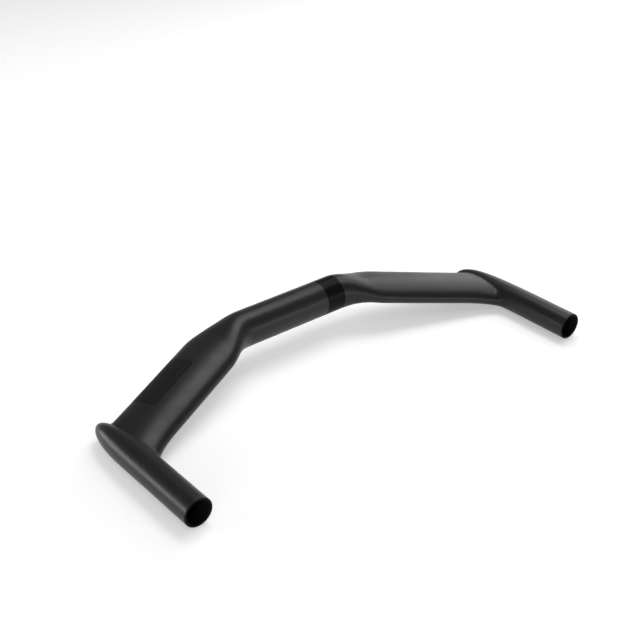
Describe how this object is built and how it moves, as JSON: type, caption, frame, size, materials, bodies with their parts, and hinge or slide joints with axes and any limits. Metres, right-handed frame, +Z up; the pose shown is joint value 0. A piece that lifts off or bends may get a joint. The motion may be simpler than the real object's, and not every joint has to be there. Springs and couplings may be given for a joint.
{
  "type": "aero base bar",
  "caption": "Hollow moulded base bar for a time trial bicycle: round clamp section, swept wing arms and straight forward horns with tapered tails.",
  "frame": {"origin": "centre of the round clamp section, on its axis", "axes": "+X across the bar to the rider's left, -Y forward along the horns, +Z up when the bar is fitted"},
  "size_m": [0.4238, 0.1659, 0.0504],
  "materials": {
    "base_bar": "satin black moulded carbon laminate"
  },
  "bodies": {
    "root": {"base_bar": "base_bar"}
  },
  "joints": []
}
